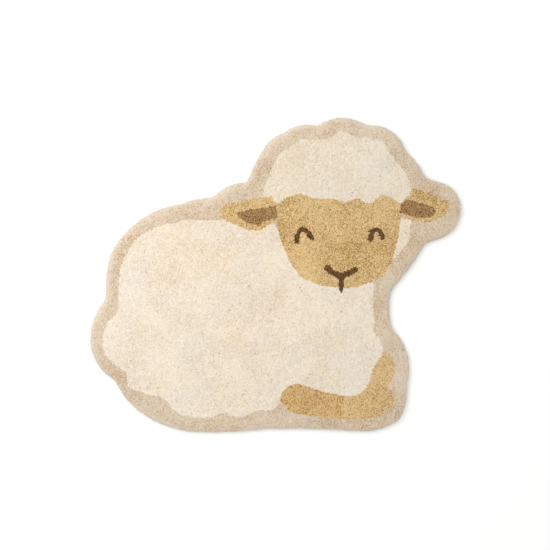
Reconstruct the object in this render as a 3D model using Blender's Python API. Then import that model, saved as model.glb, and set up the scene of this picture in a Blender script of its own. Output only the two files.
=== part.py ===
"""Lamb shaped kids rug: cut cotton pile, tufted through one backing cloth.

Metres, +Z up. The rug lies flat on the ground with its backing down, so the pile faces +Z. +X
runs from the haunch to the face, +Y from the feet to the top of the head, and the origin is on
the ground under the middle of the rug.
"""

import math
from collections import namedtuple

import bmesh
import bpy
import numpy as np
from mathutils import Vector, geometry, noise

MM = 0.001

# Driving sizes of the rug.
RUG_LENGTH = 1000 * MM  # along X, from the rump to the tip of the ear
BACKING_THICKNESS = 2 * MM
PILE_LENGTH = 16 * MM
RUG_THICKNESS = BACKING_THICKNESS + PILE_LENGTH

# The outline, clockwise as seen from above, in millimetres from the middle of the rug. Each row
# is a turn where one lobe of the lamb's coat ends and the next begins. From there to the next
# row the edge is a single arc, which stands out from the straight line by its bulge. A hollow
# has a negative bulge.
Turn = namedtuple("Turn", "place x y bulge")
OUTLINE = [
    Turn("crest", 111, 401, 22),
    Turn("forehead", 244, 403, 25),
    Turn("temple", 351, 331, 6),
    Turn("ear root", 401, 263, -1),
    Turn("ear top", 441, 251, 12),
    Turn("ear tip", 498, 193, 22),
    Turn("ear underside", 439, 97, 1),
    Turn("cheek", 403, 87, 5),
    Turn("throat", 312, -38, -7),
    Turn("knee", 313, -146, 23),
    Turn("hoof side", 353, -299, 9),
    Turn("hoof corner", 330, -393, 7),
    Turn("under the hooves", 235, -422, -3),
    Turn("belly", -32, -415, 4),
    Turn("haunch underside", -220, -422, 10),
    Turn("haunch", -357, -375, 9),
    Turn("rump", -434, -283, 25),
    Turn("rump top", -499, -147, 6),
    Turn("back, low", -458, -64, 6),
    Turn("back, middle", -444, 62, 10),
    Turn("back, high", -339, 166, 4),
    Turn("withers", -256, 191, 5),
    Turn("shoulder", -168, 209, 13),
    Turn("nape", -77, 248, 3),
    Turn("head side", -45, 318, 12),
    Turn("brow", 24, 384, 12),
]

# How the outline is drawn: a fine line, whose corners the pile rounds, then a coarser one.
FINE_STEP = 3 * MM
EDGE_STEP = 12 * MM
CORNER_ROUNDING = 7 * MM  # spread of the rounding, to each side of a corner
EDGE_WAVE = 30 * MM  # length of the small ins and outs along the edge
EDGE_UNEVEN = 1.0 * MM

# The rim's section, from the ground up: how far inside the outline and how high. The backing
# ends square, the outer tufts lean out over it, and the pile rounds over to its full height.
Rim = namedtuple("Rim", "inset height")
RIM = [
    Rim(5.0 * MM, 0),
    Rim(4.5 * MM, BACKING_THICKNESS),
    Rim(1.2 * MM, BACKING_THICKNESS + 0.22 * PILE_LENGTH),
    Rim(0, BACKING_THICKNESS + 0.46 * PILE_LENGTH),
    Rim(3.0 * MM, BACKING_THICKNESS + 0.70 * PILE_LENGTH),
    Rim(8.0 * MM, BACKING_THICKNESS + 0.89 * PILE_LENGTH),
    Rim(17 * MM, RUG_THICKNESS),
]

# The top of the pile: soft lumps, and wider places where it has been trodden or brushed.
TOP_PITCH = 18 * MM
LUMP_WAVE = 70 * MM
LUMP_DEPTH = 1.4 * MM
TRODDEN_WAVE = 230 * MM
TRODDEN_DEPTH = 1.2 * MM
TRODDEN_PLACE = 5.3  # picks another stretch of the same pattern than the lumps use
BOTTOM_PITCH = 60 * MM
ROW_MARGIN = 0.62  # share of the pitch that the rows keep from the rim
MEETING_DISTANCE = 0.01 * MM  # points nearer than this are one point

PILE_COLOUR = (0.82, 0.72, 0.56, 1)
PILE_ROUGHNESS = 0.95
SHARP_EDGE = math.radians(40)


def clear_scene():
    for thing in list(bpy.data.objects):
        bpy.data.objects.remove(thing, do_unlink=True)


def lobe(start, end, bulge, step):
    """Points a step apart on the arc from start up to end, without end itself."""
    chord = end - start
    length = float(np.hypot(*chord))
    along = chord / length
    outward = np.array([-along[1], along[0]])
    half_angle = 2 * math.atan(2 * bulge / length)
    radius = length / (2 * math.sin(half_angle))
    count = max(2, round(abs(2 * half_angle * radius) / step))
    turned = half_angle * (2 * np.arange(count) / count - 1)
    run = length / 2 + radius * np.sin(turned)
    rise = radius * (np.cos(turned) - math.cos(half_angle))
    return start + np.outer(run, along) + np.outer(rise, outward)


def even_loop(points, step):
    """The same closed line, with its points an even step apart."""
    closed = np.vstack([points, points[:1]])
    spans = np.hypot(*np.diff(closed, axis=0).T)
    travelled = np.concatenate([[0], np.cumsum(spans)])
    places = np.linspace(0, travelled[-1], round(travelled[-1] / step), endpoint=False)
    return np.column_stack([np.interp(places, travelled, closed[:, axis]) for axis in (0, 1)])


def round_corners(points, step, spread):
    """Each pass blends every point with its two neighbours, which spreads it by step / sqrt(2)."""
    for _ in range(round(2 * (spread / step) ** 2)):
        points = (np.roll(points, 1, axis=0) + 2 * points + np.roll(points, -1, axis=0)) / 4
    return points


def inward_normals(points):
    """Unit normals of a clockwise loop, pointing into the rug."""
    along = np.roll(points, -1, axis=0) - np.roll(points, 1, axis=0)
    along /= np.hypot(*along.T)[:, None]
    return np.column_stack([along[:, 1], -along[:, 0]])


def rug_outline():
    """The widest line round the pile, brought to the rug's length and centred."""
    turns = [np.array([turn.x, turn.y]) * MM for turn in OUTLINE]
    lobes = []
    for index, turn in enumerate(OUTLINE):
        end = turns[(index + 1) % len(turns)]
        lobes.append(lobe(turns[index], end, turn.bulge * MM, FINE_STEP))
    line = round_corners(even_loop(np.vstack(lobes), FINE_STEP), FINE_STEP, CORNER_ROUNDING)
    line = even_loop(line, EDGE_STEP)
    waves = [noise.noise(Vector((x, y, 0)) / EDGE_WAVE) for x, y in line]
    line = line + inward_normals(line) * EDGE_UNEVEN * np.array(waves)[:, None]
    low, high = line.min(axis=0), line.max(axis=0)
    return (line - (low + high) / 2) * RUG_LENGTH / (high - low)[0]


def pile_lift(x, y):
    """How far the top of the pile stands above or below its even height."""
    place = Vector((x, y, 0))
    lumps = noise.noise(place / LUMP_WAVE)
    trodden = noise.noise(place / TRODDEN_WAVE + Vector((0, 0, TRODDEN_PLACE)))
    return LUMP_DEPTH * lumps + TRODDEN_DEPTH * trodden


def rim_ring(bm, outline, inward, rim):
    """One ring of the rim. What lies above the backing rises and falls with the pile."""
    places = outline + inward * rim.inset
    share = max(0, rim.height - BACKING_THICKNESS) / PILE_LENGTH
    ring = []
    for x, y in places:
        ring.append(bm.verts.new((x, y, rim.height + share * pile_lift(x, y))))
    return ring


def join_rings(bm, lower, upper):
    for index, vert in enumerate(lower):
        after = (index + 1) % len(lower)
        bm.faces.new((vert, lower[after], upper[after], upper[index]))


def rows_inside(ring, pitch):
    """Places in staggered rows inside a ring, which keep a little away from it."""
    low, high = ring.min(axis=0), ring.max(axis=0)
    after = np.roll(ring, -1, axis=0)
    edge = after - ring
    places = []
    row_gap = pitch * math.sqrt(3) / 2
    for row in range(math.ceil((high[1] - low[1]) / row_gap)):
        y = low[1] + row * row_gap
        for column in range(math.ceil((high[0] - low[0]) / pitch)):
            x = low[0] + (column + 0.5 * (row % 2)) * pitch
            crosses = (ring[:, 1] > y) != (after[:, 1] > y)
            reach = ring[crosses, 0] + (y - ring[crosses, 1]) / edge[crosses, 1] * edge[crosses, 0]
            if np.count_nonzero(reach > x) % 2 == 0:
                continue
            offset = np.array([x, y]) - ring
            share = np.clip((offset * edge).sum(axis=1) / (edge**2).sum(axis=1), 0, 1)
            if np.hypot(*(offset - edge * share[:, None]).T).min() > ROW_MARGIN * pitch:
                places.append((x, y))
    return places


def fill_ring(bm, ring, pitch, height):
    """Close a ring with an even net of triangles, at the height that a function gives."""
    places = [vert.co.xy for vert in ring]
    inside = rows_inside(np.array(places), pitch)
    verts = ring + [bm.verts.new((x, y, height(x, y))) for x, y in inside]
    places += [Vector(place) for place in inside]
    loop = [list(range(len(ring)))]
    net = geometry.delaunay_2d_cdt(places, [], loop, 1, MEETING_DISTANCE)
    faces, sources = net[2], net[3]
    for face in faces:
        bm.faces.new([verts[sources[corner][0]] for corner in face])


def pile_material():
    material = bpy.data.materials.new("cotton_pile")
    material.use_nodes = True
    shader = material.node_tree.nodes["Principled BSDF"]
    shader.inputs["Base Color"].default_value = PILE_COLOUR
    shader.inputs["Roughness"].default_value = PILE_ROUGHNESS
    shader.inputs["Metallic"].default_value = 0
    return material


def make_lamb_rug():
    """The backing and its pile, as one slab: flat below, and soft and a little lumpy above."""
    outline = rug_outline()
    inward = inward_normals(outline)
    bm = bmesh.new()
    rings = [rim_ring(bm, outline, inward, rim) for rim in RIM]
    for lower, upper in zip(rings, rings[1:]):
        join_rings(bm, lower, upper)
    fill_ring(bm, rings[0], BOTTOM_PITCH, lambda x, y: 0)
    fill_ring(bm, rings[-1], TOP_PITCH, lambda x, y: RUG_THICKNESS + pile_lift(x, y))
    bmesh.ops.recalc_face_normals(bm, faces=bm.faces)
    mesh = bpy.data.meshes.new("lamb_rug")
    bm.to_mesh(mesh)
    bm.free()
    mesh.materials.append(pile_material())
    mesh.shade_smooth()
    mesh.set_sharp_from_angle(angle=SHARP_EDGE)
    rug = bpy.data.objects.new("lamb_rug", mesh)
    bpy.context.scene.collection.objects.link(rug)


clear_scene()
make_lamb_rug()
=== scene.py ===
"""The looks of a lamb shaped kids rug: cotton yarn, tufted through a canvas backing.

Metres, +Z up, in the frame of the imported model: the pile faces +Z, +X runs from the rump to the
face and +Y from the feet to the top of the head.
"""

import math
from collections import namedtuple

import bmesh
import bpy
import numpy as np
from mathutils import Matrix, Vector, bvhtree, geometry, kdtree, noise


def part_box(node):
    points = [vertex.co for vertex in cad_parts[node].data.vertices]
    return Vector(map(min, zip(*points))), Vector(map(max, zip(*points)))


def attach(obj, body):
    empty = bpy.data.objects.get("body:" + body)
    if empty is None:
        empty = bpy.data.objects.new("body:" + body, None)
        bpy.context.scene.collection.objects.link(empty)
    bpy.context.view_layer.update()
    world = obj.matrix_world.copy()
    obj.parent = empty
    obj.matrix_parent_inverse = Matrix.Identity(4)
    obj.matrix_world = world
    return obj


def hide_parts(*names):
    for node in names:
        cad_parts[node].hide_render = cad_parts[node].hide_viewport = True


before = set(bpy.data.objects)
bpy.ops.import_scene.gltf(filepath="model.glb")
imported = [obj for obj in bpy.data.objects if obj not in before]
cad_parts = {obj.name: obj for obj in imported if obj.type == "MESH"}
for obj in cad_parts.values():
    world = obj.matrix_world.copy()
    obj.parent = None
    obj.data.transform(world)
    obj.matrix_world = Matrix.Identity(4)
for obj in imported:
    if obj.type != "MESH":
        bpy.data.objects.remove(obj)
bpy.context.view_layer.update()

# ---- The view ------------------------------------------------------------------------------
# A white studio floor, seen from straight above through a long lens. The white room gives most
# of the light. One broad lamp up to the left adds to it, most at the back, which is nearest.

MM = 0.001
IMAGE_WIDTH = 550  # pixels
RUG_ENDS = (90, 461)  # where the picture shows the rump and the ear tip, in pixels
LENS = 85  # millimetres, as cameras give it, and so is the sensor
SENSOR = 36
FLOOR_SIZE = 12
FLOOR_DROP = 0.1 * MM  # keeps the floor clear of the canvas that lies on it
FLOOR_WHITE = (0.80, 0.80, 0.80, 1)
FLOOR_ROUGHNESS = 0.9
ROOM_WHITE = (1.0, 0.995, 0.985, 1)
ROOM_STRENGTH = 1.11
KEY_PLACE = Vector((-1.1, 0.7, 1.5))
KEY_SIZE = 1.8
KEY_POWER = 20.5
KEY_COLOUR = (1.0, 0.985, 0.96)

low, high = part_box("lamb_rug")
middle = (low + high) / 2
metres_a_pixel = (high.x - low.x) / (RUG_ENDS[1] - RUG_ENDS[0])
off_centre = (sum(RUG_ENDS) - IMAGE_WIDTH) / 2 * metres_a_pixel

camera = bpy.data.objects.new("camera", bpy.data.cameras.new("camera"))
camera.data.lens = LENS
camera.data.sensor_width = SENSOR
distance = IMAGE_WIDTH * metres_a_pixel * LENS / SENSOR
camera.location = (middle.x - off_centre, middle.y, middle.z + distance)
bpy.context.scene.collection.objects.link(camera)
bpy.context.scene.camera = camera
bpy.context.scene.view_settings.view_transform = "Standard"

key = bpy.data.objects.new("key_light", bpy.data.lights.new("key_light", "AREA"))
key.data.shape = "DISK"
key.data.size = KEY_SIZE
key.data.energy = KEY_POWER
key.data.color = KEY_COLOUR
key.location = KEY_PLACE
key.rotation_euler = (middle - KEY_PLACE).to_track_quat("-Z", "Y").to_euler()
bpy.context.scene.collection.objects.link(key)

room = bpy.data.worlds.new("room")
room.use_nodes = True
room.node_tree.nodes["Background"].inputs["Color"].default_value = ROOM_WHITE
room.node_tree.nodes["Background"].inputs["Strength"].default_value = ROOM_STRENGTH
bpy.context.scene.world = room

floor_mesh = bpy.data.meshes.new("floor")
half = FLOOR_SIZE / 2
corners = [(-half, -half, 0), (half, -half, 0), (half, half, 0), (-half, half, 0)]
floor_mesh.from_pydata(corners, [], [(0, 1, 2, 3)])
floor = bpy.data.objects.new("floor", floor_mesh)
floor.location.z = -FLOOR_DROP
floor_paint = bpy.data.materials.new("floor_paint")
floor_paint.use_nodes = True
shader = floor_paint.node_tree.nodes["Principled BSDF"]
shader.inputs["Base Color"].default_value = FLOOR_WHITE
shader.inputs["Roughness"].default_value = FLOOR_ROUGHNESS
floor_mesh.materials.append(floor_paint)
bpy.context.scene.collection.objects.link(floor)

# ---- The backing ---------------------------------------------------------------------------
# A cotton canvas, cut to the lamb's outline a little inside the pile. The yarn is shot through
# it and glued, and its plain underside is what lies on the floor.

CANVAS_THICKNESS = 2 * MM
CANVAS_INSET = 4.5 * MM  # from the widest line of the pile
CANVAS_PITCH = 40 * MM  # from one point of its net to the next
MEETING_DISTANCE = 0.01 * MM  # points nearer than this are one point

slab = bmesh.new()
slab.from_mesh(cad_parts["lamb_rug"].data)
bmesh.ops.remove_doubles(slab, verts=slab.verts, dist=MEETING_DISTANCE)
slab.normal_update()


def widest_line(bm):
    """The line round the rug where its rim turns from facing up to facing down, clockwise."""
    after = {}
    for face in bm.faces:
        if face.normal.z <= 0:
            continue
        for loop in face.loops:
            if loop.link_loop_radial_next.face.normal.z < 0:
                after[loop.vert] = loop.link_loop_next.vert
    line = [next(iter(after))]
    while after[line[-1]] is not line[0]:
        line.append(after[line[-1]])
    return np.array([vert.co.xy for vert in line])[::-1]


def inward_normals(loop):
    """Unit normals of a clockwise loop, pointing into the rug."""
    along = np.roll(loop, -1, axis=0) - np.roll(loop, 1, axis=0)
    along /= np.hypot(*along.T)[:, None]
    return np.column_stack([along[:, 1], -along[:, 0]])


def from_line(places, line, closed=True):
    """How far each place is from a line, the way from the line to it, and whether it is inside."""
    nearest = np.full(len(places), np.inf)
    away = np.zeros((len(places), 2))
    inside = np.zeros(len(places), bool)
    ends = np.roll(line, -1, axis=0) if closed else line[1:]
    for start, end in zip(line, ends):
        edge = end - start
        offset = places - start
        share = np.clip(offset @ edge / (edge @ edge), 0, 1)
        gap = offset - share[:, None] * edge
        distance = np.hypot(*gap.T)
        nearer = distance < nearest
        nearest[nearer] = distance[nearer]
        away[nearer] = gap[nearer]
        crosses = (start[1] > places[:, 1]) != (end[1] > places[:, 1])
        reach = start[0] + (places[crosses, 1] - start[1]) / (edge[1] or 1) * edge[0]
        inside[crosses] ^= reach > places[crosses, 0]
    return nearest, away / nearest[:, None], inside


def staggered_rows(low, high, pitch):
    """Places in even rows over a box, every second row moved by half a place."""
    row_gap = pitch * math.sqrt(3) / 2
    rows = np.arange(low[1], high[1], row_gap)
    columns = np.arange(low[0], high[0], pitch)
    x, y = np.meshgrid(columns, rows)
    x[1::2] += pitch / 2
    return np.column_stack([x.ravel(), y.ravel()])


outline = widest_line(slab)
canvas_edge = outline + CANVAS_INSET * inward_normals(outline)
grid = staggered_rows(canvas_edge.min(axis=0), canvas_edge.max(axis=0), CANVAS_PITCH)
gaps, _, inside = from_line(grid, canvas_edge)
grid = grid[inside & (gaps > CANVAS_PITCH / 3)]

canvas_plan = [Vector(place) for place in np.vstack([canvas_edge, grid])]
edge_count = len(canvas_edge)
net = geometry.delaunay_2d_cdt(canvas_plan, [], [list(range(edge_count))], 1, MEETING_DISTANCE)
canvas = bmesh.new()
under = [canvas.verts.new((*place, 0)) for place in net[0]]
over = [canvas.verts.new((*place, CANVAS_THICKNESS)) for place in net[0]]
for face in net[2]:
    canvas.faces.new([over[corner] for corner in face])
    canvas.faces.new([under[corner] for corner in reversed(face)])
for index in range(edge_count):
    after = (index + 1) % edge_count
    canvas.faces.new((under[index], under[after], over[after], over[index]))
bmesh.ops.recalc_face_normals(canvas, faces=canvas.faces)
backing_mesh = bpy.data.meshes.new("backing")
canvas.to_mesh(backing_mesh)
backing = bpy.data.objects.new("backing", backing_mesh)
bpy.context.scene.collection.objects.link(backing)


def add_node(tree, kind, inputs=None, **settings):
    """A shader node, with its settings, and with a value or a link for each input named."""
    made = tree.nodes.new(kind)
    for name, value in settings.items():
        setattr(made, name, value)
    for name, value in (inputs or {}).items():
        if isinstance(value, bpy.types.NodeSocket):
            tree.links.new(value, made.inputs[name])
        else:
            made.inputs[name].default_value = value
    return made


def math_node(tree, operation, first, second=0.0, clamp=False):
    inputs = {0: first, 1: second}
    made = add_node(tree, "ShaderNodeMath", inputs, operation=operation, use_clamp=clamp)
    return made.outputs[0]


def mix_colour(tree, factor, first, second):
    inputs = {"Factor": factor, 6: first, 7: second}
    return add_node(tree, "ShaderNodeMix", inputs, data_type="RGBA").outputs[2]


COTTON_SHEEN_ROUGHNESS = 0.5
COTTON_SPECULAR = 0.2


def new_material(name, roughness, sheen):
    """A material for cloth or yarn, its tree and its shader. Its colour and bump come after."""
    material = bpy.data.materials.new(name)
    material.use_nodes = True
    shader = material.node_tree.nodes["Principled BSDF"]
    shader.inputs["Roughness"].default_value = roughness
    shader.inputs["Sheen Weight"].default_value = sheen
    shader.inputs["Sheen Roughness"].default_value = COTTON_SHEEN_ROUGHNESS
    shader.inputs["Specular IOR Level"].default_value = COTTON_SPECULAR
    return material, material.node_tree, shader


THREAD_PITCH = 2.2 * MM
CANVAS_COLOUR = (0.60, 0.52, 0.40, 1)
CANVAS_SHADE = (0.40, 0.33, 0.24, 1)

cotton_canvas, tree, shader = new_material("cotton_canvas", roughness=0.9, sheen=0.1)
place = add_node(tree, "ShaderNodeTexCoord").outputs["Object"]
axes = add_node(tree, "ShaderNodeSeparateXYZ", {"Vector": place})
threads = []
for axis in ("X", "Y"):
    turn = math_node(tree, "MULTIPLY", axes.outputs[axis], math.pi / THREAD_PITCH)
    threads.append(math_node(tree, "ABSOLUTE", math_node(tree, "SINE", turn)))
weave = math_node(tree, "MULTIPLY", threads[0], threads[1])
slub = add_node(tree, "ShaderNodeTexNoise", {"Vector": place, "Scale": 60.0, "Detail": 4.0})
tone = math_node(tree, "MULTIPLY", weave, slub.outputs["Fac"], clamp=True)
colour = mix_colour(tree, tone, CANVAS_SHADE, CANVAS_COLOUR)
bump = add_node(tree, "ShaderNodeBump", {"Height": weave, "Distance": 0.4 * MM, "Strength": 0.6})
tree.links.new(colour, shader.inputs["Base Color"])
tree.links.new(bump.outputs["Normal"], shader.inputs["Normal"])
backing_mesh.materials.append(cotton_canvas)
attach(backing, "root")
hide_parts("lamb_rug")

# ---- The pile ------------------------------------------------------------------------------
# Cut cotton yarn, shot through the canvas tuft by tuft and shorn level. Here every tuft gets its
# place, and the rows at the rim lean out over the canvas. Each area of colour then takes its own.

PITCH = 4.5 * MM  # from one tuft to the next
JITTER = 0.45 * PITCH  # how far a tuft may be off the even rows at first
SETTLING_PASSES = 10
SETTLING_PUSH = 0.35  # share of the missing room that one pass makes
NEAREST = 7  # how many tufts push one, itself counted
CROWD = 6  # how many tufts tell how close they stand to one, itself counted
ROOM_FOR_ONE = 0.77 * PITCH  # a place this far from every tuft can take one more
CLUMP_WAVE = 14 * MM
CLUMP_RISE = 0.8 * MM
CLUMP_DRAW = 6 * MM  # times the slope of a clump, how far it draws the tips of its tufts
PARTING = 1.4 * MM  # tufts keep this far from the line between two yarns
EDGE_GAP = 3.4 * MM  # tufts of the top keep this far inside the widest line
FIRST_GAP = 0.8 * EDGE_GAP
RIM_ROWS = (6.5 * MM, 11 * MM)  # heights of the rows that lean out at the rim
RIM_WANDER = 1 * MM  # up or down from those heights
RIM_INSET = 7.5 * MM  # where those rows have their roots
LEANING_ZONE = 16 * MM  # inside the widest line, where tufts still lean outwards
ROOT_INSET = 7.5 * MM  # where the outermost tufts of the top have their roots
ROOT_DEPTH = 0.4 * MM  # a root sinks this far into the canvas
LOWEST = 0.5 * MM  # no yarn comes nearer to the floor
RAY_START = 0.1  # how far off the pile the rays start that find its surface
SEED = 7

chance = np.random.default_rng(SEED)
noise.seed_set(SEED)  # without it, noise_vector differs from run to run
pile_surface = bvhtree.BVHTree.FromBMesh(slab)


def tree_of(places):
    """A search tree of places in the plane or in space."""
    tree = kdtree.KDTree(len(places))
    for index, place in enumerate(places):
        tree.insert(Vector(place).to_3d(), index)
    tree.balance()
    return tree


def settle(places, line, gap):
    """Places spread evenly: each is pushed by the neighbours that are nearer than the pitch."""
    for _ in range(SETTLING_PASSES):
        tree = tree_of(places)
        push = np.zeros_like(places)
        for index, place in enumerate(places):
            for other, _, distance in tree.find_n((*place, 0), NEAREST):
                if 0 < distance < PITCH:
                    push[index] += (place - other.xy) * (PITCH - distance) / distance
        places = places + SETTLING_PUSH * push
        distance, way, inside = from_line(places, line)
        short = np.where(inside, gap - distance, gap + distance)
        inwards = np.where(inside[:, None], way, -way)
        places += inwards * np.maximum(short, 0)[:, None]
    return places


def fill_in(places, line, gap):
    """The places, and one more wherever the room between them could take it."""
    tree = tree_of(places)
    spots = staggered_rows(line.min(axis=0), line.max(axis=0), PITCH / 3)
    room = np.array([tree.find((*spot, 0))[2] for spot in spots])
    spots = spots[(room > ROOM_FOR_ONE) & (room < 2 * PITCH)]
    distance, _, inside = from_line(spots, line)
    added = []
    for spot in spots[inside & (distance > gap)]:
        if all(math.dist(spot, other) > PITCH for other in added):
            added.append(spot)
    return np.vstack([places, *added])


def clump_rise(x, y):
    """How far a clump of tufts that cling together stands up at a place."""
    return CLUMP_RISE * noise.noise(Vector((x, y, 0)) / CLUMP_WAVE)


def clump_slope(x, y):
    """How steep the clumps are at a place, along X and along Y."""
    along = clump_rise(x + MM, y) - clump_rise(x - MM, y)
    across = clump_rise(x, y + MM) - clump_rise(x, y - MM)
    return np.array([along, across]) / (2 * MM)


def along_line(line, pitch):
    """Places an even pitch apart along a closed line, with the way inwards at each."""
    closed = np.vstack([line, line[:1]])
    travelled = np.concatenate([[0], np.cumsum(np.hypot(*np.diff(closed, axis=0).T))])
    stops = np.linspace(0, travelled[-1], round(travelled[-1] / pitch), endpoint=False)
    places = np.column_stack([np.interp(stops, travelled, closed[:, axis]) for axis in (0, 1)])
    return places, inward_normals(places)


grid = staggered_rows(outline.min(axis=0), outline.max(axis=0), PITCH)
grid += chance.uniform(-JITTER, JITTER, grid.shape)
gaps, _, inside = from_line(grid, outline)
tops = settle(grid[inside & (gaps > FIRST_GAP)], outline, EDGE_GAP)
tops = settle(fill_in(tops, outline, EDGE_GAP), outline, EDGE_GAP)
gaps, inwards, _ = from_line(tops, outline)
drawn_in = np.clip((LEANING_ZONE - gaps) / (LEANING_ZONE - EDGE_GAP), 0, 1)
roots = tops + inwards * (drawn_in * (ROOT_INSET - EDGE_GAP))[:, None]

tips = []
facings = []
for x, y in tops:
    slope = clump_slope(x, y)
    start = Vector((*(x, y) + CLUMP_DRAW * slope, RAY_START))
    tip, facing, _, _ = pile_surface.ray_cast(start, Vector((0, 0, -1)))
    tips.append(tip + Vector((0, 0, clump_rise(x, y))))
    facings.append(facing - Vector((*slope, 0)))
for height in RIM_ROWS:
    places, inwards = along_line(outline, PITCH)
    heights = height + chance.uniform(-1, 1, len(places)) * RIM_WANDER
    for (x, y), (across, up), z in zip(places, inwards, heights):
        start = Vector((x - across * RAY_START, y - up * RAY_START, z))
        tip, facing, _, _ = pile_surface.ray_cast(start, Vector((across, up, 0)))
        tips.append(tip)
        facings.append(facing)
    roots = np.vstack([roots, places + inwards * RIM_INSET])
tips = np.array(tips)
facings = np.array(facings)
inwards = from_line(tips[:, :2], outline)[1]
free = np.ones(len(tips), bool)
at_rim = np.arange(len(tips)) >= len(tops)
crowd = tree_of(tips)
spacing = []
for tip in tips:
    neighbours = crowd.find_n(tip, CROWD)[1:]
    spacing.append(np.mean([distance for _, _, distance in neighbours]))
spacing = np.array(spacing)

BRUSHED_WAVE = 75 * MM
BRUSHED_LEAN = 0.12  # how far whole patches lean one way, to 1 upright
LOOSE_LEAN = 0.10  # how far single tufts lean
SIDES = 6
ENDS = 3  # cut ends of yarn that show at the top of a tuft
Ring = namedtuple("Ring", "count rise radius spread")  # the spread is on the surface map
RINGS = [
    Ring(SIDES, 0, 2.8 * MM, 0.48),
    Ring(SIDES, 0.85, 3.15 * MM, 0.36),
    Ring(ENDS, 1, 1.6 * MM, 0.19),
    Ring(1, 0.88, 0, 0),
]
SIZE_RANGE = (0.85, 1.15)
TURN_UNEVEN = 0.25  # radians
BLOOM_RANGE = (0.8, 1.3)  # how far a tuft spreads where its neighbours stand close or far
TOP_UNEVEN = 0.5 * MM
RIM_UNEVEN = 1.4 * MM
SOFTNESS = 0.55  # share of the way the whole tuft faces in the shading of each of its corners
ROOT_CORNER = 0.43  # where a cell of the surface map holds the tuft's closed root
ROOT_SPREAD = 0.05


def unit(vectors):
    return vectors / np.linalg.norm(vectors, axis=-1, keepdims=True)


def tuft_points(chosen):
    """Corners of the chosen tufts, ring by ring from the root up, and the way each tuft faces."""
    count = len(chosen)
    root = np.column_stack([roots[chosen], np.full(count, CANVAS_THICKNESS - ROOT_DEPTH)])
    tip = tips[chosen]
    lean = [noise.noise_vector(Vector(place) / BRUSHED_WAVE) for place in tip]
    lean = BRUSHED_LEAN * np.array(lean) + chance.normal(0, LOOSE_LEAN, (count, 3))
    lean[:, 2] = 0
    facing = unit(facings[chosen] + lean)
    bend = tip - facing * np.linalg.norm(tip - root, axis=1, keepdims=True) / 2
    side = np.column_stack([-inwards[chosen, 1], inwards[chosen, 0], np.zeros(count)])
    bloom = np.clip(spacing[chosen] / PITCH, *BLOOM_RANGE)[:, None]
    turned = chance.uniform(0, 2 * math.pi, (count, 1))
    uneven = np.where(at_rim[chosen], RIM_UNEVEN, TOP_UNEVEN)[:, None]
    points = []
    for ring in RINGS:
        rise = ring.rise
        centre = (1 - rise) ** 2 * root + 2 * rise * (1 - rise) * bend + rise**2 * tip
        along = unit((1 - rise) * (bend - root) + rise * (tip - bend))
        across = unit(side - (side * along).sum(axis=1, keepdims=True) * along)
        other = np.cross(along, across)
        angle = turned + np.arange(ring.count) * 2 * math.pi / ring.count
        angle = angle + chance.uniform(-TURN_UNEVEN, TURN_UNEVEN, angle.shape)
        reach = ring.radius * bloom * chance.uniform(*SIZE_RANGE, (count, ring.count))
        height = rise * uneven * chance.uniform(-1, 1, (count, ring.count))
        corner = centre[:, None] + (reach * np.cos(angle))[..., None] * across[:, None]
        corner += (reach * np.sin(angle))[..., None] * other[:, None]
        points.append(corner + height[..., None] * along[:, None])
    points = np.concatenate(points, axis=1)
    points[..., 2] = np.maximum(points[..., 2], LOWEST)
    return points, facing


def tuft_faces():
    """A tuft's faces: its closed root, its sides, and above them the slopes of its three ends."""
    faces = [tuple(reversed(range(SIDES)))]
    for side in range(SIDES):
        after = (side + 1) % SIDES
        faces.append((side, after, after + SIDES, side + SIDES))
    ends = 2 * SIDES
    heart = ends + ENDS
    for end in range(ENDS):
        after = (end + 1) % ENDS
        below = SIDES + 2 * end
        beyond = SIDES + 2 * after
        faces.append((below, below + 1, ends + end))
        faces.append((below + 1, heart, ends + end))
        faces.append((heart, below + 1, ends + after))
        faces.append((below + 1, beyond, ends + after))
    return faces


def map_spots(faces):
    """For each corner of a tuft's faces, its place in one cell of the surface map."""
    rings = []
    for ring in RINGS:
        angle = np.arange(ring.count) * 2 * math.pi / ring.count
        rings.append(0.5 + ring.spread * np.column_stack([np.cos(angle), np.sin(angle)]))
    places = np.vstack(rings)
    root = 0.5 + ROOT_CORNER + (places[: RINGS[0].count] - 0.5) * ROOT_SPREAD / RINGS[0].spread
    return np.vstack([root[list(faces[0])]] + [places[list(face)] for face in faces[1:]])


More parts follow.
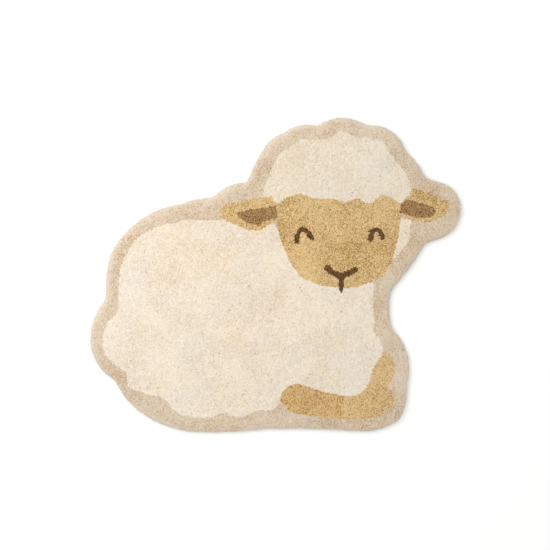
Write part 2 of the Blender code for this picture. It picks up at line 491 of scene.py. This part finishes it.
def plant(name, chosen, material):
    """One area of yarn: its tufts as one joined mesh, on the canvas that carries them."""
    points, facing = tuft_points(chosen)
    count, corners = points.shape[:2]
    faces = tuft_faces()
    loops = np.array([corner for face in faces for corner in face])
    sizes = np.array([len(face) for face in faces])
    mesh = bpy.data.meshes.new(name)
    mesh.vertices.add(count * corners)
    mesh.vertices.foreach_set("co", points.astype(np.float32).ravel())
    mesh.loops.add(count * len(loops))
    first_corner = np.arange(count)[:, None] * corners
    mesh.loops.foreach_set("vertex_index", (loops + first_corner).astype(np.int32).ravel())
    mesh.polygons.add(count * len(faces))
    starts = np.concatenate([[0], np.cumsum(sizes)[:-1]])
    first_loop = np.arange(count)[:, None] * len(loops)
    mesh.polygons.foreach_set("loop_start", (starts + first_loop).astype(np.int32).ravel())

    columns = math.ceil(math.sqrt(count))
    cells = np.column_stack([np.arange(count) % columns, np.arange(count) // columns])
    surface_map = mesh.uv_layers.new(name="OFBake")
    spots = (cells[:, None] + map_spots(faces)) / columns
    surface_map.data.foreach_set("uv", spots.astype(np.float32).ravel())

    marks = np.ones((count, corners, 4), np.float32)
    marks[..., 0] = chance.uniform(0, 1, (count, corners))
    marks[..., 1] = np.repeat([ring.rise for ring in RINGS], [ring.count for ring in RINGS])
    marks[..., 2] = 1 - facing[:, 2:]
    tuft = mesh.color_attributes.new("tuft", "FLOAT_COLOR", "POINT")
    tuft.data.foreach_set("color", marks.ravel())
    mesh.update(calc_edges=True)
    mesh.validate()
    mesh.shade_smooth()
    normals = np.zeros(count * corners * 3, np.float32)
    mesh.vertex_normals.foreach_get("vector", normals)
    normals = normals.reshape(count, corners, 3)
    soft = unit(normals * (1 - SOFTNESS) + facing[:, None] * SOFTNESS)
    mesh.normals_split_custom_set_from_vertices(soft.reshape(-1, 3))
    mesh.materials.append(material)
    piece = bpy.data.objects.new(name, mesh)
    bpy.context.scene.collection.objects.link(piece)
    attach(piece, "root")
    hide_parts("lamb_rug")


COOLER = (-0.7, -0.4, 0.6)  # how a cooler patch differs, in red, green and blue
# The first stretch gives soft clouds of painted light and shade, as the nap of cut pile shows
# them; the second, cooler patches of yarn.
PATCH_SHADE_STRETCH = 14.5  # these pick a stretch of the same endless pattern of soft clouds
COOLING_STRETCH = 300.5
CLOUDS = {"Scale": 6.0, "Detail": 4.0, "Roughness": 0.75}
PLIES = {"Scale": 450.0, "Detail": 2.0}
FIBRES = {"Scale": 1100.0, "Detail": 2.0}
DRAWN_OUT = (1, 1, 0.3)  # plies and fibres run up the tuft, so their patterns are long in Z
FLANK_GAIN = 5.0  # a tuft that leans out by a fifth has its flank's full colour
SHADE_FALL = 2.0  # painted shade down at the root gives way by this power of the height
RIM_LIGHT = 0.45  # how much less painted shade the open pile at the rim gets


def cut_pile_group():
    """Colour of cut yarn: painted shade between the ends, its grain, and painted patches of light
    and shade.
    """
    group = bpy.data.node_groups.new("cut_pile", "ShaderNodeTree")
    for name in ("Yarn", "Flank", "Shade And Dark Tone"):
        group.interface.new_socket(name, in_out="INPUT", socket_type="NodeSocketColor")
    for name in ("Tone Spread", "Ply Spread", "Patch Shade", "Cooling"):
        group.interface.new_socket(name, in_out="INPUT", socket_type="NodeSocketFloat")
    group.interface.new_socket("Color", in_out="OUTPUT", socket_type="NodeSocketColor")
    group.interface.new_socket("Fibres", in_out="OUTPUT", socket_type="NodeSocketFloat")
    given = add_node(group, "NodeGroupInput").outputs
    marks = add_node(group, "ShaderNodeAttribute", attribute_name="tuft").outputs["Color"]
    tuft = add_node(group, "ShaderNodeSeparateColor", {"Color": marks}).outputs
    place = add_node(group, "ShaderNodeTexCoord").outputs["Object"]
    drawn = {0: place, 1: DRAWN_OUT}
    drawn = add_node(group, "ShaderNodeVectorMath", drawn, operation="MULTIPLY").outputs[0]
    clouds = []
    for stretch in (PATCH_SHADE_STRETCH, COOLING_STRETCH):
        soft = {"Vector": place, "W": stretch, **CLOUDS}
        cloud = add_node(group, "ShaderNodeTexNoise", soft, noise_dimensions="4D")
        clouds.append(cloud.outputs["Fac"])
    shade_patches, cooled = clouds
    plies = add_node(group, "ShaderNodeTexNoise", {"Vector": drawn, **PLIES})
    fibres = add_node(group, "ShaderNodeTexNoise", {"Vector": drawn, **FIBRES})

    flank = math_node(group, "MULTIPLY", tuft["Blue"], FLANK_GAIN, clamp=True)
    colour = mix_colour(group, flank, given["Yarn"], given["Flank"])
    # Painted shade, more of it the lower on the tuft; random tone, plies and painted patches sway
    # it.
    height = math_node(group, "POWER", tuft["Green"], SHADE_FALL)
    shade_and_tone = math_node(group, "SUBTRACT", 1.0, height)
    sways = {"Tone Spread": tuft["Red"], "Ply Spread": plies.outputs["Fac"], "Patch Shade": shade_patches}
    for spread, pattern in sways.items():
        sway = math_node(group, "SUBTRACT", pattern, 0.5)
        sway = math_node(group, "MULTIPLY", sway, given[spread])
        shade_and_tone = math_node(group, "ADD", shade_and_tone, sway)
    shade_and_tone = math_node(group, "ADD", shade_and_tone, 0.0, clamp=True)
    opened = math_node(group, "MULTIPLY", flank, RIM_LIGHT)
    shade_and_tone = math_node(group, "MULTIPLY", shade_and_tone, math_node(group, "SUBTRACT", 1.0, opened))
    colour = mix_colour(group, shade_and_tone, colour, given["Shade And Dark Tone"])
    cooling = math_node(group, "SUBTRACT", cooled, 0.5)
    cooling = math_node(group, "MULTIPLY", cooling, given["Cooling"])
    tint = {0: cooling, 1: COOLER, 2: (1, 1, 1)}
    tint = add_node(group, "ShaderNodeVectorMath", tint, operation="MULTIPLY_ADD").outputs[0]
    colour = add_node(group, "ShaderNodeVectorMath", {0: colour, 1: tint}, operation="MULTIPLY")
    result = add_node(group, "NodeGroupOutput", {"Color": colour.outputs[0]})
    group.links.new(fibres.outputs["Fac"], result.inputs["Fibres"])
    return group


def pile_material(name, yarn, flank, shade_and_dark_tone, tone_spread, ply_spread, patch_shade, cooling):
    """Cotton yarn of one colour, as cut pile."""
    material, tree, shader = new_material(name, roughness=0.95, sheen=0.25)
    # The third colour is painted shade between the tufts and the dark end of the yarn's random
    # tone.
    inputs = {"Yarn": (*yarn, 1), "Flank": (*flank, 1), "Shade And Dark Tone": (*shade_and_dark_tone, 1)}
    inputs.update({"Tone Spread": tone_spread, "Ply Spread": ply_spread})
    # The patch shade paints soft patches of light and shade into the yarn's colour.
    inputs.update({"Patch Shade": patch_shade, "Cooling": cooling})
    pile = add_node(tree, "ShaderNodeGroup", node_tree=cut_pile)
    for socket, value in inputs.items():
        pile.inputs[socket].default_value = value
    bump = add_node(tree, "ShaderNodeBump", {"Height": pile.outputs["Fibres"], "Strength": 0.5})
    bump.inputs["Distance"].default_value = 0.5 * MM
    tree.links.new(pile.outputs["Color"], shader.inputs["Base Color"])
    tree.links.new(bump.outputs["Normal"], shader.inputs["Normal"])
    return material


ARC_STEP = 2 * MM
AS_GOOD_AS_STRAIGHT = 1e-6  # half angle of an arc without a bulge


def arc_line(rows):
    """Points along a chain of arcs. A row is a place and the arc's bulge to its left, in mm."""
    rows = np.array(rows, float) * MM
    line = []
    for (*start, bulge), (*end, _) in zip(rows, rows[1:]):
        start, end = np.array(start), np.array(end)
        chord = end - start
        length = math.hypot(*chord)
        half_angle = 2 * math.atan(2 * bulge / length) or AS_GOOD_AS_STRAIGHT
        radius = length / (2 * math.sin(half_angle))
        count = max(1, round(abs(2 * half_angle * radius) / ARC_STEP))
        turned = half_angle * (2 * np.arange(count) / count - 1)
        run = length / 2 + radius * np.sin(turned)
        rise = radius * (np.cos(turned) - math.cos(half_angle))
        left = np.array([-chord[1], chord[0]])
        line.append(start + (np.outer(run, chord) + np.outer(rise, left)) / length)
    return np.vstack(line + [rows[-1:, :2]])


def part(gap, away):
    """Move the free tufts that stand on the line between two yarns clear of it, to their side."""
    step = away * (free * np.maximum(PARTING - gap, 0))[:, None]
    tips[:, :2] += step
    roots[:] += step


def take(wanted):
    """The tufts of an area, without those that an earlier area has."""
    chosen = np.flatnonzero(wanted & free)
    free[chosen] = False
    return chosen


def tufts_in(rows):
    """The free tufts inside a closed chain of arcs."""
    line = arc_line(rows + rows[:1])[:-1]
    gap, away, inside = from_line(tips[:, :2], line)
    part(gap, away)
    return take(inside)


cut_pile = cut_pile_group()

# ---- The eyes, nose and mouth --------------------------------------------------------------
# Dark brown yarn, tufted as single lines about three tufts wide. Lines come first, and the
# areas round them are filled in up to them.

RAGGED = 1.4 * MM  # how far the edge of a line wanders
EYE_WIDTH = 13 * MM
MOUTH_WIDTH = 16 * MM
LEFT_EYE = [(56, 91, 3), (66, 119, 5), (84, 118, 0), (99, 99, 0)]
RIGHT_EYE = [(255, 94, 0), (258, 111, 11), (284, 112, 0), (288, 100, 0)]
MOUTH = [(139, 20, -3), (177, -3, -2), (212, 15, 0)]
STEM = [(171, -4, 0), (184, -4, 1), (184, -31, 0), (179, -49, 0), (175, -49, 0), (171, -31, 1)]


def tufts_near(rows, width):
    """The free tufts that a line of about this width covers, with a ragged edge."""
    gap, _, _ = from_line(tips[:, :2], arc_line(rows), closed=False)
    return take(gap < width / 2 + RAGGED * chance.uniform(-1, 1, len(gap)))


dark_yarn = pile_material(
    "dark_brown_yarn",
    yarn=(0.17, 0.084, 0.029),
    flank=(0.20, 0.11, 0.048),
    shade_and_dark_tone=(0.025, 0.012, 0.004),
    tone_spread=2.6,
    ply_spread=2.6,
    patch_shade=0.5,
    cooling=0.3,
)
plant("left_eye", tufts_near(LEFT_EYE, EYE_WIDTH), dark_yarn)
plant("right_eye", tufts_near(RIGHT_EYE, EYE_WIDTH), dark_yarn)
mouth = np.concatenate([tufts_near(MOUTH, MOUTH_WIDTH), tufts_in(STEM)])
plant("nose_and_mouth", mouth, dark_yarn)

# ---- The ear hollows -----------------------------------------------------------------------
# The inside of each ear, in brown yarn. Only the colour changes: the pile is as high as round
# it. The left ear lies along the shoulder, and the right one stands out from the cheek.

LEFT_HOLLOW = [
    (-104, 166, 2), (-57, 178, 0), (1, 185, 0), (7, 155, 0), (-34, 142, 3), (-55, 136, 1),
    (-75, 139, 3),
]
RIGHT_HOLLOW = [
    (335, 188, 0), (353, 203, 1), (416, 186, 2), (432, 173, 4), (416, 156, 4), (365, 159, 1),
    (336, 168, 0),
]
brown_yarn = pile_material(
    "brown_yarn",
    yarn=(0.425, 0.253, 0.109),
    flank=(0.44, 0.30, 0.165),
    shade_and_dark_tone=(0.088, 0.039, 0.011),
    tone_spread=3.4,
    ply_spread=3.6,
    patch_shade=1.5,
    cooling=0.35,
)
plant("left_ear_hollow", tufts_in(LEFT_HOLLOW), brown_yarn)
plant("right_ear_hollow", tufts_in(RIGHT_HOLLOW), brown_yarn)

# ---- The head ------------------------------------------------------------------------------
# Gold yarn for the face, and cream yarn for the woolly cap and the strip of fleece behind the
# cheek, a shade deeper on the cap. The cap meets the brow in a ragged fringe.

HEAD = [
    (-36, 210, 3), (-5, 297, 1), (8, 323, 1), (44, 347, 1), (67, 364, 1), (140, 367, -2),
    (175, 391, -1), (224, 370, 2), (290, 360, 2), (308, 327, 1), (358, 263, 4), (361, 217, 0),
    (336, 192, 0), (307, 212, 3), (288, 219, -1), (267, 199, 6), (234, 199, -3), (215, 205, -1),
    (190, 196, 2), (157, 206, 1), (99, 206, -12), (24, 203, 6), (-5, 198, 0), (-11, 212, 1),
]
cap_yarn = pile_material(
    "cap_yarn",
    yarn=(0.775, 0.70, 0.59),
    flank=(0.79, 0.74, 0.66),
    shade_and_dark_tone=(0.575, 0.45, 0.285),
    tone_spread=1.4,
    ply_spread=1.7,
    patch_shade=1.3,
    cooling=0.2,
)
plant("head_fleece", tufts_in(HEAD), cap_yarn)

FACE = [
    (1, 196, 0), (40, 228, 0), (286, 228, 0), (338, 193, 1), (334, 134, 3), (317, 52, 3),
    (293, 2, 2), (267, -14, 1), (230, -28, 2), (205, -33, 1), (174, -34, 1), (123, -28, 2),
    (67, -4, 4), (29, 60, 4), (6, 134, 1),
]
gold_yarn = pile_material(
    "gold_yarn",
    yarn=(0.71, 0.515, 0.262),
    flank=(0.74, 0.585, 0.34),
    shade_and_dark_tone=(0.335, 0.19, 0.045),
    tone_spread=3.0,
    ply_spread=3.4,
    patch_shade=3.5,
    cooling=0.35,
)
plant("face", tufts_in(FACE), gold_yarn)

CHEEK = [
    (338, 155, 0), (365, 147, -1), (362, 114, 4), (347, 77, 0), (325, 48, 4), (312, 48, 0),
    (326, 91, 0),
]
cream_yarn = pile_material(
    "cream_yarn",
    yarn=(0.81, 0.73, 0.625),
    flank=(0.82, 0.77, 0.69),
    shade_and_dark_tone=(0.60, 0.47, 0.30),
    tone_spread=1.4,
    ply_spread=1.7,
    patch_shade=1.7,
    cooling=0.28,
)
plant("cheek_fleece", tufts_in(CHEEK), cream_yarn)

# ---- The ears ------------------------------------------------------------------------------
# The same gold yarn as the face, all round the brown hollows.

LEFT_EAR = [
    (-149, 172, 6), (-118, 193, 2), (-21, 209, 2), (-8, 212, 0), (-5, 198, 0), (8, 191, 0),
    (8, 144, 1), (-11, 141, 0), (-39, 121, 3), (-76, 123, 2), (-139, 150, 4),
]
RIGHT_EAR = [
    (336, 192, 0), (361, 215, -1), (366, 232, 3), (413, 218, 0), (453, 202, 6), (466, 185, 6),
    (444, 155, 4), (401, 144, 4), (358, 153, 0), (336, 166, 0),
]
plant("left_ear", tufts_in(LEFT_EAR), gold_yarn)
plant("right_ear", tufts_in(RIGHT_EAR), gold_yarn)

# ---- The legs ------------------------------------------------------------------------------
# The near leg lies folded along the belly, in a deeper gold than the face. The far one is a
# little paler, and ends in the hoof.

NEAR_LEG = [
    (13, -337, 18), (73, -296, -3), (187, -326, 0), (177, -357, 0), (177, -387, 1),
    (59, -374, 6),
]
FAR_LEG = [
    (187, -326, -12), (250, -294, -1), (263, -250, 1), (295, -208, 6), (320, -245, 7),
    (298, -300, 6), (320, -334, 9), (283, -374, 4), (218, -388, 1), (177, -387, 0),
    (177, -357, 0),
]
deep_gold_yarn = pile_material(
    "deep_gold_yarn",
    yarn=(0.695, 0.478, 0.222),
    flank=(0.71, 0.54, 0.29),
    shade_and_dark_tone=(0.328, 0.177, 0.038),
    tone_spread=3.0,
    ply_spread=3.4,
    patch_shade=-3.5,
    cooling=0.35,
)
pale_gold_yarn = pile_material(
    "pale_gold_yarn",
    yarn=(0.71, 0.515, 0.27),
    flank=(0.74, 0.585, 0.35),
    shade_and_dark_tone=(0.352, 0.203, 0.051),
    tone_spread=2.4,
    ply_spread=2.8,
    patch_shade=1.5,
    cooling=0.35,
)
plant("near_leg", tufts_in(NEAR_LEG), deep_gold_yarn)
plant("far_leg", tufts_in(FAR_LEG), pale_gold_yarn)

# ---- The body ------------------------------------------------------------------------------
# The same cream yarn as on the cheek, in one field from the rump to the chest. It is one pile,
# and three pieces only because it has so many tufts.

BODY = [
    (-422, -88, 0), (-422, -10, 6), (-392, 73, 3), (-370, 100, 9), (-261, 142, 2),
    (-242, 149, 1), (-180, 147, 1), (-136, 147, 0), (-3, 134, 0), (141, 12, 0), (264, -13, 0),
    (262, -88, 4), (262, -153, 6), (289, -198, 2), (278, -237, 0), (242, -342, 0),
    (33, -335, 0), (13, -344, 2), (-13, -365, 0), (-54, -366, 0), (-83, -380, 2),
    (-115, -380, -11), (-168, -383, 3), (-252, -379, -1), (-278, -361, -12), (-339, -324, 0),
    (-398, -302, 0), (-402, -261, 4), (-460, -214, 9), (-454, -139, 4), (-445, -121, -2),
]
BODY_PIECES = ("rump_fleece", "flank_fleece", "chest_fleece")
body = tufts_in(BODY)
body = body[np.argsort(tips[body, 0], kind="stable")]
for name, share in zip(BODY_PIECES, np.array_split(body, len(BODY_PIECES))):
    plant(name, share, cream_yarn)

# ---- The border ----------------------------------------------------------------------------
# Beige yarn all round, to the rim, where the outer tufts lean out over the canvas. It takes all
# the tufts that are left, and is one pile in two pieces, as the body is one in three.

border_yarn = pile_material(
    "beige_yarn",
    yarn=(0.687, 0.582, 0.458),
    flank=(0.66, 0.585, 0.49),
    shade_and_dark_tone=(0.45, 0.303, 0.16),
    tone_spread=1.9,
    ply_spread=2.1,
    patch_shade=2.8,
    cooling=0.15,
)
BORDER_PIECES = ("rump_border", "head_border")
border = take(free)
border = border[np.argsort(tips[border, 0], kind="stable")]
for name, share in zip(BORDER_PIECES, np.array_split(border, len(BORDER_PIECES))):
    plant(name, share, border_yarn)
